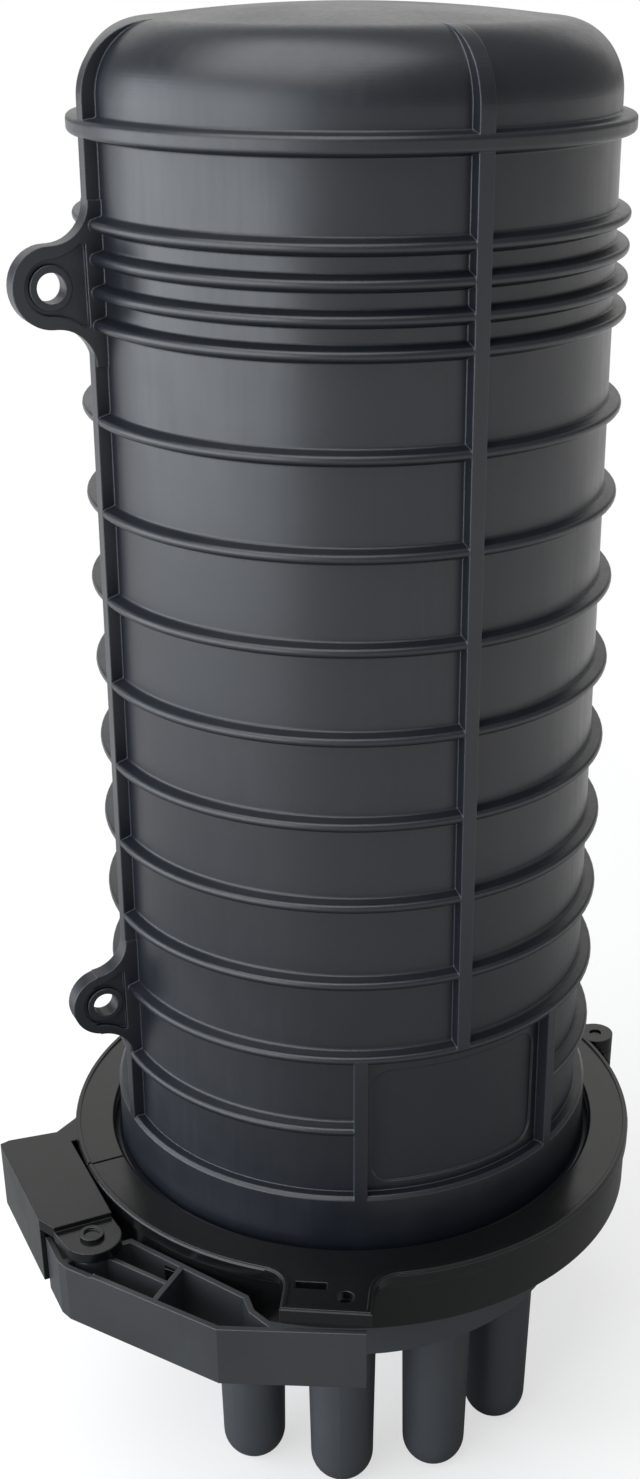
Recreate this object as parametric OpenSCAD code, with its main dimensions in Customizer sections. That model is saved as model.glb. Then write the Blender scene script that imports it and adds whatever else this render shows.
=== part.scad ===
// Dome splice closure: a ribbed dome over a ported base, held by a hinged clamp ring
// with a lever latch, and the splice trays that stand on the base inside the dome.
// Millimetres. Z runs up the dome's axis, and Z = 0 is at the tips of the cable ports.
// The clamp's seam and latch are at -X, its hinge at +X, and the label field at -Y.

/* [Heights] */
// Length of a cable port below the base floor
port_len = 79.5; // [60:0.5:120]
// Depth of the base, from its underside to the seal plane
base_depth = 46.5; // [42:0.5:60]
// Height of the lowest rib's top above the seal plane
first_rib_rise = 34; // [30:0.5:50]
// Spacing of the wide-set ribs
rib_pitch = 29.88; // [24:0.01:34]
// Number of spacings between the wide-set ribs
rib_spaces = 10; // [8:1:11]
// Spacing of the close-set ribs under the crown
close_pitch = 9.8; // [8:0.1:12]
// Height of the shoulder band's top above the top close-set rib
shoulder_rise = 27.7; // [20:0.1:35]
// Height of the crown above the shoulder band
crown_rise = 30.5; // [28:0.5:40]

/* [Dome] */
// Radius over the lowest rib
rib_r_low = 94.8; // [93:0.1:96]
// Mould draft of the dome's side, in degrees
draft = 0.84; // [0.3:0.02:1.2]
// How far the ribs stand out of the wall
rib_depth = 4.4; // [3:0.1:5]
// Thickness of a ring rib at its root
rib_thick = 4.4; // [4:0.1:5]
// Thickness of a ring rib near its edge
rib_edge = 3.3; // [3:0.1:4]
// Height of the shoulder band
band_h = 5.4; // [4:0.1:8]
// Thickness of the dome's wall
dome_wall = 3.6; // [3:0.1:4.5]
// Radius of the crown's shoulder
crown_corner = 21; // [14:0.5:24]
// Rise of the shallow crown above its shoulder
crown_bulge = 4; // [2:0.1:6]
// Thickness of an upright rib
spine_w = 5; // [4:0.1:7]
// Length of the spigot that enters the base
spigot_len = 7; // [4:0.5:10]

/* [Label field] */
// Angle of the label field's middle, counted from -Y towards +X
label_turn = 2; // [-5:1:5]
// Half the angle between the label field's side frames
label_half = 25; // [18:1:28]
// Width of the side frames
frame_w = 4.8; // [3:0.1:6]
// Depth of the label recess
label_recess = 0.8; // [0.4:0.1:1.2]

/* [Ears] */
// Radius of the hole's centre from the dome's axis
ear_reach = 103; // [101:0.5:108]
// Radius of an ear's outline
ear_r = 12.3; // [11:0.1:13]
// Radius of the mounting hole
ear_hole_r = 4.6; // [3.5:0.1:5]
// Thickness of an ear's rim
ear_thick = 6.6; // [5:0.1:9]
// Width of the raised rim
ear_rim = 4; // [3:0.1:5]
// Depth of the recess inside the rim
ear_pocket = 1.8; // [1:0.1:2.2]

/* [Base] */
// Radius of the base's pot
pot_r = 90; // [89:0.1:92]
// Thickness of the base's wall
base_wall = 3.5; // [3:0.1:4.5]
// Thickness of the base's floor
base_floor = 4; // [3:0.1:6]
// Radius of the two sealing flanges
flange_r = 108; // [107:0.1:109]
// Thickness of a flange at its edge
flange_edge = 5.6; // [5:0.1:6.5]
// Rise of a flange's sloping back from its edge to its root
flange_rise = 3.2; // [2:0.1:4]
// Radius of the seal groove's middle
seal_r = 99.5; // [97:0.1:102]
// Diameter of the seal's section
seal_d = 4.4; // [3.6:0.1:5]

/* [Ports] */
// Outside radius of a round cable port at the base floor
port_r = 13.9; // [12:0.1:14]
// Outside radius of a round cable port at its closed tip
port_tip_r = 12.9; // [11:0.1:14]
// Thickness of a port's wall
port_wall = 2.2; // [1.8:0.1:3]
// Radius of the circle that the round ports stand on
port_pitch_r = 70; // [66:0.5:72]
// Number of round ports
port_count = 4; // [2:1:4]
// Angle between two round ports
port_step = 32.5; // [30:0.5:36]
// Angle of the round ports' middle, counted from -Y towards +X
port_turn = -12; // [-20:1:0]
// Outside radius of the oval port's two ends
oval_r = 15; // [12:0.5:17]
// Distance between the oval port's two ends
oval_span = 34; // [24:1:40]
// Radius at which the oval port stands
oval_pitch_r = 62; // [58:0.5:66]

/* [Clamp ring] */
// Outside radius of the clamp ring
clamp_r = 114; // [113.6:0.1:115]
// Height of the clamp's flat top above the seal plane
clamp_up = 13.2; // [12.5:0.1:15]
// Depth of the clamp's skirt below the seal plane
clamp_down = 12.4; // [11.5:0.1:14]
// Height of the bead on the clamp's rim
bead_h = 0.7; // [0.4:0.1:1.2]
// Width of the bead
bead_w = 1.5; // [1:0.1:2]
// Clearance between the clamp's groove and the flanges
groove_clear = 0.3; // [0.2:0.05:0.5]
// Width of the seams between the two halves
seam = 1; // [0.6:0.1:1.5]
// Distance of the seams behind the dome's axis
seam_y = 2.6; // [0:0.1:4]
// Distance of the hinge pin from the dome's axis
hinge_x = 120; // [119.5:0.1:121]
// Radius of a hinge knuckle
knuckle_r = 7.6; // [6.5:0.1:8]
// Radius of the hinge pin
hinge_pin_r = 2.5; // [2:0.1:3]

/* [Tab] */
// Angle of the tab's outward direction, counted from -Y towards +X
tab_turn = -30; // [-32:0.1:-28]
// Distance of the tab's front edge from the dome's axis
tab_reach = 133.6; // [132:0.1:135]
// Width of the tab
tab_w = 33; // [30:0.1:36]
// How far the tab's middle lies off its outward direction
tab_shift = 2.5; // [1:0.1:4]
// Radius of the tab's shoulders
tab_fillet = 10; // [6:0.5:11]
// Thickness of the tab
tab_t = 3.6; // [3:0.1:4]
// Radius of the seal-wire hole in the tab
wire_hole_r = 3.2; // [2:0.1:3.5]

/* [Latch] */
// Distance of the latch pin from the X = 0 plane, towards the seam
latch_x = 125; // [124.5:0.1:126]
// Distance of the latch pin in front of the dome's axis
latch_y = 38; // [37.5:0.1:38.5]
// Radius of the latch pin
latch_pin_r = 3; // [2.5:0.1:3.5]
// Radius of the lever's eye
lever_eye_r = 8.6; // [7.5:0.1:9]
// Radius of the arm's lug over the lever's eye
lug_r = 11; // [10:0.1:11.5]
// Height of the lever's walls
lever_h = 25; // [20:0.5:26]
// Thickness of the lever's walls
lever_wall = 2.2; // [2:0.1:2.6]
// Length of the lever's finger end in front of the clamp
finger_len = 53; // [45:0.5:56]
// Outer face of the arm, from the X = 0 plane
arm_x = 141; // [140:0.1:143]
// Height of the arm
arm_h = 29; // [27:0.5:30]
// Thickness of the arm's top
arm_top = 4.6; // [4:0.1:5]

/* [Trays] */
// Number of splice trays
tray_count = 4; // [2:1:4]
// Width of a tray
tray_w = 104; // [96:1:108]
// Length of a tray
tray_len = 236; // [200:1:250]
// Depth of a tray
tray_depth = 8.4; // [7:0.1:9]
// Wall of a tray
tray_wall = 1.6; // [1.2:0.1:2]
// Gap between two trays
tray_gap = 1; // [0.6:0.1:1.6]
// Number of splice places across a tray
splice_places = 12; // [6:1:12]

/* [Frame] */
// Distance between the frame's two uprights
upright_span = 112; // [110:1:116]
// Width of an upright
upright_w = 16; // [12:1:20]
// Thickness of the frame's sheet
sheet_t = 2; // [1.5:0.1:2.5]
// Height of the frame above its feet
frame_h = 372; // [360:1:390]
// Running clearance of a pin in its hole, on the radius
pin_clear = 0.05; // [0.02:0.01:0.1]

/* [Hidden] */
$fn = 96;
floor_z = port_len;
seal_z = floor_z + base_depth;
rib_z0 = seal_z + first_rib_rise;
rib_z1 = rib_z0 + rib_spaces * rib_pitch;
close_top = rib_z1 + 3 * close_pitch;
band_z = close_top + shoulder_rise;
apex_z = band_z + crown_rise;
corner_z = apex_z - crown_bulge - crown_corner;
label_low = rib_z0;
label_high = rib_z0 + 2 * rib_pitch;
wide_ribs = [for (i = [0:rib_spaces]) if (i != 1) rib_z0 + i * rib_pitch];
close_ribs = [for (i = [1:3]) rib_z1 + i * close_pitch];
split_rib = rib_z0 + rib_pitch;
ear_z = [rib_z0 + 53.4, rib_z1 + close_pitch + 0.5];
clamp_top = seal_z + clamp_up;
clamp_low = seal_z - clamp_down;
lug_top = clamp_top - 2.2;
lug_low = clamp_top - arm_top - 2;
lever_top = lug_low - 1.4;
lever_low = lever_top - lever_h;
arm_low = clamp_top - arm_h;
eye_low = arm_low + 3.4;
eye_top = lug_low - 0.4;
eps = 0.01;

black = [0.10, 0.10, 0.11];
charcoal = [0.20, 0.20, 0.22];
grey = [0.27, 0.28, 0.29];

// ---- shared helpers ----

// Radius over the ribs at height z
function rib_r(z) = rib_r_low - tan(draft) * (z - rib_z0);

// Radius of the wall between the ribs at height z
function wall_r(z) = rib_r(z) - rib_depth;

// Points of an arc about c, from angle a to angle b
function arc(c, r, a, b, n = 10) =
    [for (i = [0:n]) let (t = a + (b - a) * i / n) c + r * [cos(t), sin(t)]];

// Turns its children so that +X points at an angle counted from -Y towards +X
module facing(angle) {
    rotate([0, 0, angle - 90]) children();
}

// Half-profile of a ring rib with a round edge and root fillets, its top edge at height z
function rib_points(z, r, root, thick, edge) =
    let (mid = z - edge / 2, f = 1.1, e = min(1.5, edge / 2))
    concat([[root - 1, mid - thick / 2 - f]],
        arc([root + f, mid - thick / 2 - f], f, 180, 90, 3),
        arc([r - e, mid - edge / 2 + e], e, -90, 0, 4),
        arc([r - e, z - e], e, 0, 90, 4),
        arc([root + f, mid + thick / 2 + f], f, 270, 180, 3),
        [[root - 1, mid + thick / 2 + f]]);

// Line beside a path, at distance d to its left, mitred at each turn
function unit(v) = v / norm(v);
function left(v) = [-v[1], v[0]];
function beside(p, d) = [for (i = [0:len(p) - 1])
    let (j = max(i, 1), k = min(i, len(p) - 2),
        a = left(unit(p[j] - p[j - 1])),
        b = left(unit(p[k + 1] - p[k])),
        m = unit(a + b))
    p[i] + m * d / (m * a)];

// Plan of a wall of width w whose middle follows a path
module wall(p, w) {
    back = beside(p, -w / 2);
    polygon(concat(beside(p, w / 2), [for (i = [len(p) - 1:-1:0]) back[i]]));
}

// ---- dome ----

// Outer outline of the crown, from the shoulder to the axis
function crown_outline(inset) =
    let (cr = wall_r(corner_z) - crown_corner,
        bulge_r = (cr * cr + crown_bulge * crown_bulge) / (2 * crown_bulge),
        reach = asin(cr / bulge_r))
    concat(
        arc([cr, corner_z], crown_corner - inset, 0, 90 - reach, 26),
        [for (i = [1:14]) let (t = reach * (1 - i / 14))
            [(bulge_r - inset) * sin(t), apex_z - bulge_r + (bulge_r - inset) * cos(t)]]);

// The dome's plain wall with its spigot, flange and collar
module dome_wall_body() {
    root_r = rib_r_low + 0.2;
    in_low = pot_r - base_wall - 0.4;
    rotate_extrude() polygon(concat(
        [[in_low - 3.4, seal_z - spigot_len], [in_low - 1, seal_z - spigot_len],
            [in_low, seal_z - spigot_len + 1.2], [in_low, seal_z],
            [flange_r, seal_z], [flange_r, seal_z + flange_edge],
            [root_r + 1, seal_z + flange_edge + flange_rise],
            [root_r, seal_z + flange_edge + flange_rise + 1],
            [rib_r_low, rib_z0 - 1.2], [rib_r_low - 1.2, rib_z0],
            [wall_r(rib_z0), rib_z0]],
        crown_outline(0),
        [[0, apex_z - dome_wall]],
        [for (i = [len(crown_outline(dome_wall)) - 2:-1:0]) crown_outline(dome_wall)[i]],
        [[wall_r(rib_z0) - dome_wall, rib_z0 + 3], [rib_r_low - dome_wall - 0.6, rib_z0 - 3],
            [root_r - dome_wall - 0.8, seal_z + flange_edge + 6],
            [in_low - 3.4, seal_z + flange_edge]]));
}

// Ring ribs, the group of close-set ones and the shoulder band
module ring_ribs() {
    for (z = concat([for (z = wide_ribs) if (z > rib_z0 + 1) z], close_ribs))
        rotate_extrude() polygon(rib_points(z, rib_r(z), wall_r(z) - 0.1, rib_thick, rib_edge));
    rotate_extrude()
        polygon(rib_points(band_z, rib_r(band_z) + 0.5, wall_r(band_z) - 0.1, band_h + 0.6, band_h));
    open_angle = 360 - 2 * label_half;
    rotate([0, 0, label_turn + label_half - 90])
        rotate_extrude(angle = open_angle)
            polygon(rib_points(split_rib, rib_r(split_rib), wall_r(split_rib) - 0.1,
                rib_thick, rib_edge));
}

// Side profile of an upright rib from height z0 over the shoulder, fading into the crown
module spine_profile(z0) {
    cr = wall_r(corner_z) - crown_corner;
    steps = 24;
    outer = [for (i = [0:steps]) let (t = 90 * i / steps,
            rise = rib_depth * (1 - pow(t / 90, 2) * (3 - 2 * t / 90)))
        [cr + (crown_corner + rise) * cos(t), corner_z + (crown_corner + rise) * sin(t)]];
    polygon(concat([[wall_r(z0) - 1.5, z0], [rib_r(z0), z0]], outer,
        [[cr, apex_z - crown_bulge - 1.5]],
        arc([cr, corner_z], crown_corner - 1.5, 80, 0, 8)));
}

// One upright rib of the dome
module spine(angle, z0) {
    facing(angle) rotate([90, 0, 0]) translate([0, 0, -spine_w / 2])
        linear_extrude(spine_w) spine_profile(z0);
}

// Side frames of the label field
module label_frames() {
    for (side = [-1, 1])
        facing(label_turn + side * label_half) rotate([90, 0, 0])
            translate([0, 0, -frame_w / 2]) linear_extrude(frame_w) polygon([
                [wall_r(label_low) - 1, label_low - 2], [rib_r(label_low), label_low - 2],
                [rib_r(label_high), label_high - 2], [wall_r(label_high) - 1, label_high - 2]]);
}

// The shallow recess with round corners inside the label field
module label_cut() {
    corner = 7;
    half = wall_r(split_rib) * sin(label_half) - frame_w / 2 - 2.2;
    low = label_low + 3.8;
    high = label_high - rib_thick - 4;
    intersection() {
        facing(label_turn - 0.6) rotate([90, 0, 90]) linear_extrude(200) {
            translate([-half + corner, low]) square([2 * (half - corner), high - low]);
            translate([-half, low + corner]) square([2 * half, high - low - 2 * corner]);
            for (x = [-1, 1], z = [low + corner, high - corner])
                translate([x * (half - corner), z]) circle(corner, $fn = 32);
        }
        rotate_extrude() polygon([
            [wall_r(low) - label_recess, low - 5], [wall_r(low) + 9, low - 5],
            [wall_r(high) + 9, high + 5], [wall_r(high) - label_recess, high + 5]]);
    }
}

// Flat outline of an ear, drawn in by inset. X is the distance from the dome's axis
module ear_outline(inset, root) {
    r = ear_r - inset;
    f = ear_r + inset;
    translate([ear_reach, 0]) circle(r);
    translate([root, -r]) square([ear_reach - root, 2 * r]);
    for (s = [-1, 1])
        difference() {
            translate([root, s > 0 ? 0 : -r - f + inset])
                square([ear_r - 0.3, r + f - inset]);
            translate([root + ear_r, s * (ear_r + ear_r)]) circle(f);
        }
}

// One mounting ear at height z: rimmed plate with a bossed hole across it
module ear(z) {
    root = rib_r(z) - 0.4;
    rotate([90, 0, 180]) translate([0, z, 0]) difference() {
        union() {
            translate([0, 0, -ear_thick / 2]) linear_extrude(ear_thick) {
                ear_outline(0, root);
                translate([root - rib_depth - 1, -2 * ear_r])
                    square([rib_depth + 1 + eps, 4 * ear_r]);
            }
        }
        for (s = [-1, 1])
            translate([0, 0, s > 0 ? ear_thick / 2 - ear_pocket : -ear_thick / 2 - 1])
                linear_extrude(ear_pocket + 1) difference() {
                    intersection() {
                        ear_outline(ear_rim, root + 1.5);
                        translate([root + 1.5, -ear_r]) square([2 * ear_r + 20, 2 * ear_r]);
                    }
                    translate([ear_reach, 0]) circle(ear_hole_r + 2.2);
                }
        translate([ear_reach, 0, -ear_thick]) cylinder(r = ear_hole_r, h = 2 * ear_thick);
    }
}

module dome() {
    color(charcoal) difference() {
        union() {
            dome_wall_body();
            ring_ribs();
            for (a = [90, 180, 270]) spine(a, rib_z0 - 1);
            spine(0, label_high - 2);
            label_frames();
            for (z = ear_z) ear(z);
        }
        label_cut();
    }
}

// ---- base ----

// Half-profile of the base's pot with its sealing flange
module pot_profile() {
    root = pot_r + 3;
    polygon([[0, floor_z], [pot_r - 2, floor_z], [pot_r, floor_z + 2],
        [pot_r, seal_z - flange_edge - flange_rise - 5],
        [root, seal_z - flange_edge - flange_rise],
        [flange_r, seal_z - flange_edge], [flange_r, seal_z],
        [seal_r + seal_d / 2 + 0.2, seal_z],
        [seal_r + seal_d / 2 + 0.2, seal_z - seal_d - 0.05],
        [seal_r - seal_d / 2 - 0.2, seal_z - seal_d - 0.05],
        [seal_r - seal_d / 2 - 0.2, seal_z],
        [pot_r - base_wall, seal_z], [pot_r - base_wall, floor_z + base_floor],
        [0, floor_z + base_floor]]);
}

// Angle of round port i
function port_angle(i) = port_turn + port_step * (i - (port_count - 1) / 2);

// A closed round tube hanging from the floor, drawn in by inset
module round_port(inset) {
    translate([0, 0, port_tip_r])
        cylinder(r1 = port_tip_r - inset, r2 = port_r - inset, h = port_len - port_tip_r + 2 + inset);
    translate([0, 0, port_tip_r]) sphere(r = port_tip_r - inset);
}

// A closed oval tube hanging from the floor, drawn in by inset
module oval_port(inset) {
    r = oval_r - inset;
    rise = port_len - oval_r + 2 + inset;
    for (s = [-1, 1]) translate([0, s * oval_span / 2, oval_r]) {
        cylinder(r = r, h = rise);
        sphere(r = r);
    }
    translate([0, oval_span / 2, oval_r]) rotate([90, 0, 0]) cylinder(r = r, h = oval_span);
    translate([-r, -oval_span / 2, oval_r]) cube([2 * r, oval_span, rise]);
}

// Screw posts on the base floor for the frame's feet
foot_x = upright_span / 2 - 11;
post_h = 6;
post_r = 5;
screw_r = 2;
module frame_posts() {
    for (x = [-1, 1], y = [-1, 1])
        translate([x * foot_x, y * 7, floor_z + base_floor - 1]) cylinder(r = post_r, h = post_h + 1);
}

earth_pos = [20, 22];
earth_r = 4;
module base() {
    color(grey) difference() {
        union() {
            rotate_extrude() pot_profile();
            for (i = [0:port_count - 1])
                facing(port_angle(i)) translate([port_pitch_r, 0, 0]) round_port(0);
            facing(port_turn + 180) translate([oval_pitch_r, 0, 0]) oval_port(0);
            frame_posts();
        }
        for (i = [0:port_count - 1])
            facing(port_angle(i)) translate([port_pitch_r, 0, 0]) {
                round_port(port_wall);
                translate([0, 0, floor_z]) cylinder(r = port_r - port_wall, h = base_floor + 2);
            }
        facing(port_turn + 180) translate([oval_pitch_r, 0, 0]) {
            oval_port(port_wall);
            translate([0, 0, floor_z + base_floor - oval_r]) oval_port(port_wall);
        }
        for (x = [-1, 1], y = [-1, 1])
            translate([x * foot_x, y * 7, floor_z + base_floor - 1])
                cylinder(r = screw_r + pin_clear, h = post_h + 2);
        translate([earth_pos[0], earth_pos[1], floor_z - 1])
            cylinder(r = earth_r + pin_clear, h = base_floor + 2);
    }
}

module seal_ring() {
    color("dimgray") translate([0, 0, seal_z - seal_d / 2 - 0.02]) rotate_extrude()
        translate([seal_r, 0]) circle(d = seal_d, $fn = 48);
}

// ---- clamp ring ----

// Section of the clamp: flat top with a round rim, skirt and the grooved inside
module clamp_profile() {
    step = 0.8;
    rim = 1;
    top_in = rib_r_low + 3.2;
    low_in = pot_r + 3.6;
    g_r = flange_r + 1;
    c = groove_clear;
    up = seal_z + flange_edge + c;
    dn = seal_z - flange_edge - c;
    polygon(concat(
        [[top_in, seal_z + flange_edge + flange_rise - 0.1], [top_in, clamp_top - 0.8],
            [top_in + 0.8, clamp_top]],
        arc([clamp_r - rim, clamp_top - rim], rim, 90, 0, 4),
        [[clamp_r, clamp_top - 5.3], [clamp_r - step, clamp_top - 5.9],
            [clamp_r - step, clamp_low + 1], [clamp_r - step - 1, clamp_low],
            [low_in, clamp_low], [low_in, seal_z - flange_edge - flange_rise - c],
            [g_r, dn], [g_r, up]]));
}

// Outline of the clamp's top, with the tab on the front half, drawn in by inset
module clamp_outline(side, inset) {
    circle(clamp_r - inset);
    if (side < 0) on_tab() tab_outline(inset);
}

// Half of the clamp ring with its bead: side is 1 for the rear half and -1 for the front half
module clamp_half(side) {
    wide = 2 * clamp_r + 60;
    difference() {
        union() {
            rotate_extrude() clamp_profile();
            translate([0, 0, clamp_top - 0.4]) linear_extrude(bead_h + 0.4) difference() {
                clamp_outline(side, 0.6);
                clamp_outline(side, 0.6 + bead_w);
            }
        }
        translate([-wide / 2, side > 0 ? seam_y + seam / 2 - wide : seam_y - seam / 2,
            clamp_low - 5]) cube([wide, wide, clamp_up + clamp_down + 12]);
    }
}

// Heights of the hinge knuckles: the rear half carries the outer two
knuckle_mid_low = clamp_low + 7;
knuckle_mid_top = clamp_top - 7;
knuckle_gap = 0.3;

// A knuckle about the hinge pin, tied to the half on its side
module knuckle(side, z0, z1) {
    translate([0, seam_y, z0]) linear_extrude(z1 - z0) {
        translate([hinge_x, 0]) circle(knuckle_r);
        intersection() {
            translate([clamp_r - 9, side > 0 ? 0 : -knuckle_r - 6])
                square([hinge_x + knuckle_r - clamp_r + 9 - 1.6, knuckle_r + 6]);
            difference() {
                translate([clamp_r - 9, -20]) square([20, 40]);
                translate([hinge_x + knuckle_r + 1, side * (knuckle_r + 4)]) circle(9);
            }
        }
    }
}

// Clears the other half's knuckle
module knuckle_relief(z0, z1) {
    translate([hinge_x, seam_y, z0]) cylinder(r = knuckle_r + 0.5, h = z1 - z0);
}

module hinge_bore() {
    translate([hinge_x, seam_y, clamp_low - 5])
        cylinder(r = hinge_pin_r + pin_clear, h = clamp_up + clamp_down + 10);
}

// Everything inside the clamp's groove and mouth, to trim what is added outside the ring
module clamp_inside() {
    translate([0, 0, clamp_low - 5])
        cylinder(r = flange_r + 1, h = clamp_up + clamp_down + 12);
}

// Flat outline of the arm that the rear half reaches past the seam with, drawn in by inset
arm_front = latch_y - 7.8;
arm_back = 31;
arm_gap = 0.7;
arm_slot = 7.4;
module arm_outline(inset) {
    x0 = -arm_x + inset;
    polygon([[x0, arm_back - inset], [x0 + 4, arm_back + 1 - inset],
        [-118, arm_back - 1.4 - inset], [-105, arm_back + 7 - inset], [-105, 21],
        [-clamp_r - arm_gap - inset, 21], [-clamp_r - arm_gap - inset, -arm_front + inset],
        [x0 + 3.6, -arm_front + inset], [x0, -arm_front + arm_slot + inset]]);
}

// Point where a line from p meets a circle about c just inside its tangent
function touch(p, c, r, side) =
    let (d = p - c, a = atan2(d[1], d[0]) + side * acos(r / norm(d)))
    c + 0.996 * r * [cos(a), sin(a)];

// Upper lug: the arm's end, drawn round the latch pin
module lug_outline() {
    c = [-latch_x, -latch_y];
    p = [-arm_x + 3.6, -arm_front];
    q = [-clamp_r - arm_gap, -arm_front];
    circle_at(c, lug_r);
    polygon([p + [0, 3], p, touch(p, c, lug_r, 1), c, c + [lug_r - 0.04, 0], q, q + [0, 3]]);
}

module circle_at(c, r) {
    translate(c) circle(r);
}

// The arm: top plate, skirt wall, inner wall and the two lugs for the latch pin
module arm() {
    wall_t = 2.4;
    lug_side = 9.2;
    translate([0, 0, clamp_top - arm_top]) linear_extrude(arm_top) arm_outline(0);
    translate([0, 0, arm_low]) linear_extrude(arm_h - 1) difference() {
        arm_outline(0);
        arm_outline(wall_t);
        translate([-arm_x - 1, -arm_front - 1])
            square([arm_x - clamp_r - arm_gap - 2, arm_slot + 1]);
        translate([-arm_x + wall_t, -arm_front - 1])
            square([arm_x - clamp_r - arm_gap - 2 * wall_t, arm_slot + 6]);
        circle_at([-latch_x, -latch_y], lever_eye_r + 0.7);
    }
    translate([0, 0, lug_low]) linear_extrude(lug_top - lug_low) lug_outline();
    translate([0, 0, arm_low]) linear_extrude(3) {
        circle_at([-latch_x, -latch_y], lug_r - 0.6);
        translate([-latch_x, -latch_y]) square([lug_side, latch_y - arm_front + 3]);
    }
}

module latch_bore() {
    translate([-latch_x, -latch_y, arm_low - 5])
        cylinder(r = latch_pin_r + pin_clear, h = arm_h + 10);
}

module clamp_rear() {
    color(black) difference() {
        union() {
            difference() {
                clamp_half(1);
                knuckle_relief(knuckle_mid_low - knuckle_gap, knuckle_mid_top + knuckle_gap);
            }
            difference() {
                union() {
                    knuckle(1, clamp_low, knuckle_mid_low - knuckle_gap);
                    knuckle(1, knuckle_mid_top + knuckle_gap, clamp_top);
                    arm();
                }
                clamp_inside();
            }
        }
        hinge_bore();
        latch_bore();
    }
}

// Turns its children into the tab's own frame: +X runs outwards, +Y across
module on_tab() {
    facing(tab_turn) translate([0, tab_shift, 0]) children();
}

// Flat outline of the tab with its concave shoulders, drawn in by inset
module tab_outline(inset) {
    root = clamp_r - 20;
    half = tab_w / 2 - inset;
    f = tab_fillet + inset;
    translate([root, -half]) square([tab_reach - inset - root, 2 * half]);
    for (s = [-1, 1]) {
        y = s * (tab_w / 2 + tab_fillet);
        reach = clamp_r + tab_fillet;
        x = sqrt(reach * reach - pow(y + tab_shift, 2));
        out = atan2(y + tab_shift, x);
        difference() {
            polygon([[root, s * (half - 1)], [x, s * (half - 1)], [x, y],
                [x - f * cos(out), y - f * sin(out)], [root, y - s * 2]]);
            translate([x, y]) circle(f);
        }
    }
}

// The tab with its down-turned lip, sealing slot and wire hole
slot_size = [3.8, 11.6];
slot_at = [tab_reach - 16.2, -12.6];
wire_at = [tab_reach - 9, 6.2];
module tab() {
    lip_t = 2.2;
    lip_h = 1.4;
    nub_r = 2.2;
    difference() {
        on_tab() {
            translate([0, 0, clamp_top - tab_t]) linear_extrude(tab_t) tab_outline(0);
            translate([tab_reach - lip_t, -tab_w / 2, clamp_top - tab_t - lip_h])
                cube([lip_t, tab_w, tab_t]);
            translate([tab_reach - lip_t - 1, wire_at[1], clamp_top - tab_t - 3])
                cylinder(r = nub_r, h = 4, $fn = 32);
        }
        on_tab() {
            translate([slot_at[0], slot_at[1], clamp_top - 10]) 
                cube([slot_size[0], slot_size[1], 20]);
            translate([wire_at[0], wire_at[1], clamp_top - 10])
                cylinder(r = wire_hole_r, h = 20);
        }
    }
}

// Keeper on the front half's skirt: a wedge that the lever's inner wall closes over
keeper_turn = -52;
keeper_angle = 12.5;
keeper_rise = 3.4;
keeper_len = 19;
keeper_low = clamp_low + 2.4;
keeper_h = 12;
module keeper_plan(clear) {
    root = clamp_r - 0.8;
    run = 1 / tan(keeper_angle);
    front = clear / sin(keeper_angle);
    top = keeper_rise + clear;
    polygon([[root - 3, front + 3 * run], [root + top, front - top * run],
        [root + top, -keeper_len - clear], [root - 3, -keeper_len - clear]]);
}

module keeper() {
    facing(keeper_turn) translate([0, 0, keeper_low]) linear_extrude(keeper_h) keeper_plan(0);
}

// Window that the lever's inner wall closes over the keeper with
module keeper_window() {
    clear = 0.6;
    facing(keeper_turn) translate([0, 0, keeper_low - clear])
        linear_extrude(keeper_h + 2 * clear) keeper_plan(clear);
}

module clamp_front() {
    color(black) difference() {
        union() {
            difference() {
                clamp_half(-1);
                knuckle_relief(clamp_low - 1, knuckle_mid_low);
                knuckle_relief(knuckle_mid_top, clamp_top + 2);
            }
            difference() {
                union() {
                    knuckle(-1, knuckle_mid_low, knuckle_mid_top);
                    tab();
                    keeper();
                }
                clamp_inside();
            }
        }
        hinge_bore();
    }
}

module clamp_hinge_pin() {
    sunk = 0.8;
    color(black) translate([hinge_x, seam_y, clamp_low + sunk])
        cylinder(r = hinge_pin_r, h = clamp_up + clamp_down - 2 * sunk);
}

// ---- latch ----

// Corners of the lever's plan, worked out from the clamp's radius and the latch pin
side_dir = [0.56, -0.8285];
end_dir = [0.886, -0.465];
in_dir = [0.49, -0.8717];
in_norm = [-0.8717, -0.49];
half_wall = lever_wall / 2;
lever_tail = [-latch_x - 14.2 + half_wall, -latch_y + 14.6];
lever_turn = [lever_tail[0], -latch_y - 3.4];
lever_corner = lever_turn + 70 * side_dir;
lever_end = lever_corner + finger_len * end_dir;
in_mid = (clamp_r + 0.9 + half_wall) * in_norm;
claw_tip = in_mid - 19.6 * in_dir;
in_end = in_mid + 36 * in_dir;
pin_at = [-latch_x, -latch_y];

// Plan of the lever's walls and ribs
module lever_plan() {
    wall([lever_tail, lever_turn + [0, 2.6], lever_turn + 2.6 * side_dir, lever_corner, lever_end],
        lever_wall);
    wall([pin_at + [5, -1.8], claw_tip, in_end, in_end + [-1, -8], lever_corner + 21 * end_dir],
        lever_wall);
    wall([pin_at + [1, -5], pin_at + [3.6, -7.4], pin_at + [18.6, -31.2]], 1.8);
    wall([in_mid + 6 * in_dir, lever_turn + 42 * side_dir], 2);
    wall([pin_at, lever_turn + [0, 1]], 2.2);
}

// Web that closes the underside of the lever's pockets
module lever_web_plan() {
    polygon([lever_turn, lever_corner, lever_corner + 21 * end_dir, in_end + [-1, -8], in_end,
        claw_tip, pin_at + [6, -2]]);
}

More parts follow.
